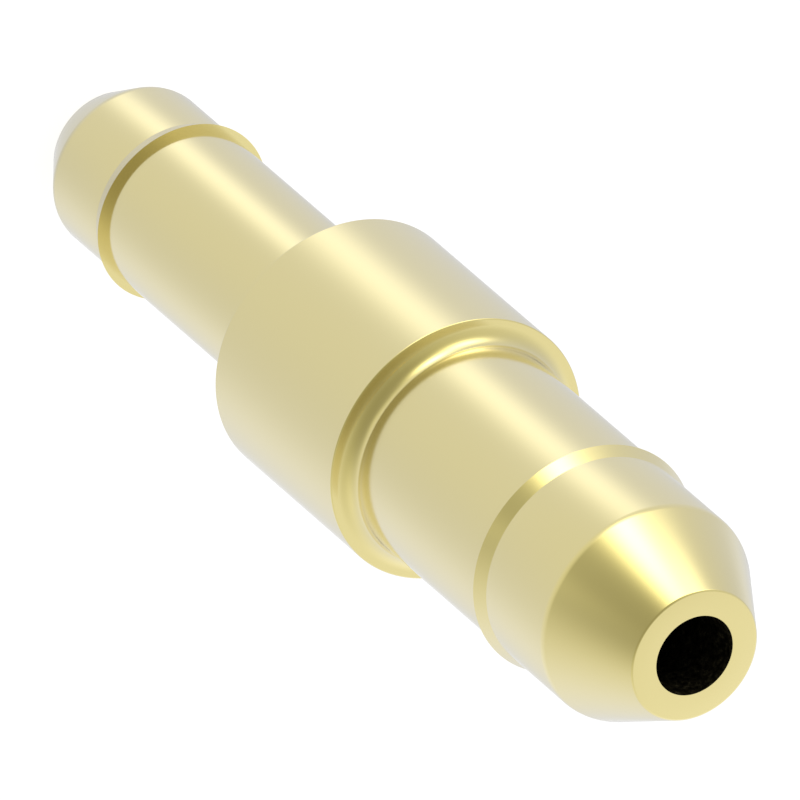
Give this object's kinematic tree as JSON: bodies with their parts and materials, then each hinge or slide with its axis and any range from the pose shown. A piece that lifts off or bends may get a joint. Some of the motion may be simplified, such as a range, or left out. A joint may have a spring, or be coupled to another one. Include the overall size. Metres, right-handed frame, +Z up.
{
  "type": "barbed tube union",
  "caption": "Turned brass union with a ridged, tapered barb on either side of a plain round collar, one larger than the other, and a bore drilled from end to end.",
  "frame": {"origin": "centre of the small barb's end face, on which the union stands", "axes": "+Z runs up along the turned axis, from the small barb to the large barb; any direction across it is as good as any other"},
  "size_m": [0.01, 0.01, 0.0408],
  "materials": {
    "brass": "bright, smoothly turned brass with faint tool marks round the axis"
  },
  "bodies": {
    "root": {"union_body": "brass"}
  },
  "joints": []
}
